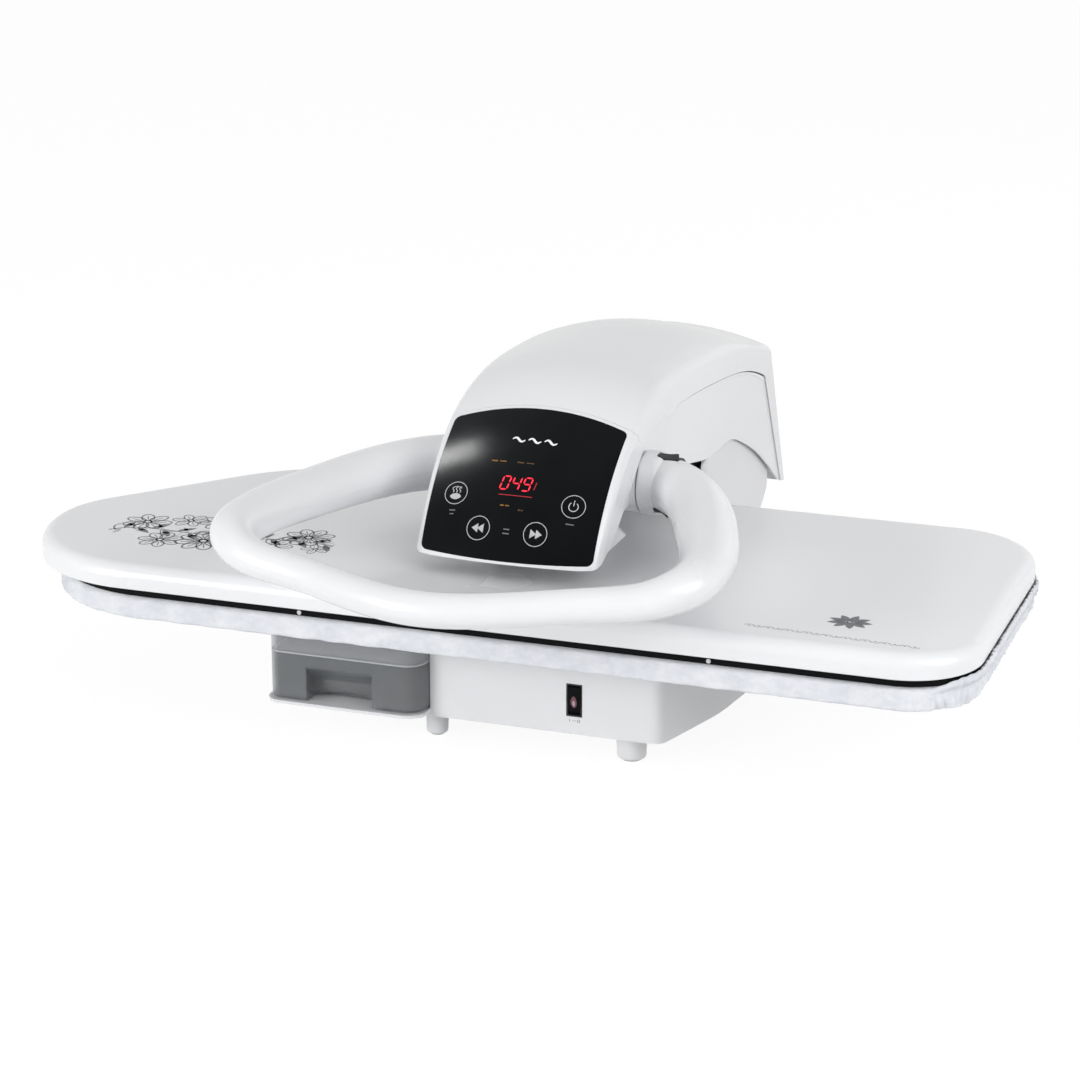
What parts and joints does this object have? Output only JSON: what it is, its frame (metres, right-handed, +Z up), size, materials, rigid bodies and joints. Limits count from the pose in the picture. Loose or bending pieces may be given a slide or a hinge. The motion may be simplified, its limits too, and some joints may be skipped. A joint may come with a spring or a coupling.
{
  "type": "steam ironing press",
  "caption": "White table-top steam ironing press with a hinged heated plate, a padded board, a curved arm with a black touch panel, a bow handle and a pull-out water tank.",
  "frame": {"origin": "middle of the footprint on the surface that the rubber feet stand on", "axes": "+X to the user's right along the pressing board, +Y to the back where the hinge is, +Z up"},
  "size_m": [0.96, 0.8391, 0.3409],
  "materials": {
    "white_shell": "gloss",
    "black_gloss": "high gloss",
    "black_plastic": "satin",
    "clear_smoke": "clear",
    "steel": "plain",
    "painted_steel": "matt",
    "white_steel": "satin",
    "aluminium": "fine ground",
    "heater_tube": "dull",
    "bronze": "plain",
    "cover_cloth": "woven",
    "foam": "soft",
    "glass_wool": "soft",
    "rubber_grey": "matt",
    "pale_rubber": "matt",
    "circuit_board": "satin",
    "board_black": "satin"
  },
  "bodies": {
    "base": {"base_shell": "white_shell", "tank_bay": "white_shell", "base_floor": "white_shell", "feet": "white_shell", "foot_pads": "pale_rubber", "foot_screws": "steel", "switch_bezel": "black_plastic", "mains_inlet": "black_plastic", "tray_mounts": "black_plastic", "board_tray": "white_steel", "foam_pad": "foam", "pad_cover": "cover_cloth", "hinge_bracket": "painted_steel", "hinge_shaft": "steel", "shaft_clips": "steel", "lift_springs": "steel", "tower_cover": "white_shell", "tank_coupling": "black_plastic", "water_pump": "steel", "pump_mounts": "rubber_grey", "suction_hose": "pale_rubber", "supply_hose": "pale_rubber", "water_swivel": "black_plastic", "power_board": "circuit_board", "board_parts": "board_black"},
    "arm": {"platen": "aluminium", "edge_trim": "black_gloss", "trim_pins": "black_plastic", "plate_cover": "white_shell", "heating_element": "heater_tube", "element_clips": "steel", "steam_chamber": "aluminium", "thermostat": "aluminium", "thermal_fuse": "black_plastic", "insulation": "glass_wool", "plate_bracket": "aluminium", "bracket_screws": "steel", "neck_shroud": "white_shell", "arm_frame": "painted_steel", "hinge_bushes": "bronze", "arm_top_cover": "white_shell", "arm_panel_right": "white_shell", "arm_panel_left": "white_shell", "arm_bottom_cover": "white_shell", "head_bezel": "white_shell", "lens_panel": "black_gloss", "control_board": "circuit_board", "display_module": "board_black", "arm_hose": "pale_rubber", "handle_collars": "black_plastic", "handle_shaft": "steel"},
    "handle": {"handle_loop": "white_shell"},
    "tank": {"tank_body": "clear_smoke", "tank_seal": "pale_rubber", "tank_lid": "clear_smoke", "fill_cap": "clear_smoke", "tank_valve": "steel"},
    "switch": {"rocker": "black_gloss"}
  },
  "joints": [
    {"name": "arm_hinge", "type": "hinge", "parent": "base", "child": "arm", "pos_m": [0.022, 0.3295, 0.15], "axis": [-1, 0, 0], "range_deg": [0, 40]},
    {"name": "handle_pivot", "type": "hinge", "parent": "arm", "child": "handle", "pos_m": [0.022, -0.0515, 0.24], "axis": [-1, 0, 0], "range_deg": [0, 25]},
    {"name": "tank_slide", "type": "slide", "parent": "base", "child": "tank", "axis": [0, -1, 0], "range_m": [0, 0.15]},
    {"name": "rocker_hinge", "type": "hinge", "parent": "base", "child": "switch", "pos_m": [0.0925, -0.1875, 0.062], "axis": [-1, 0, 0], "range_deg": [0, 14]}
  ]
}
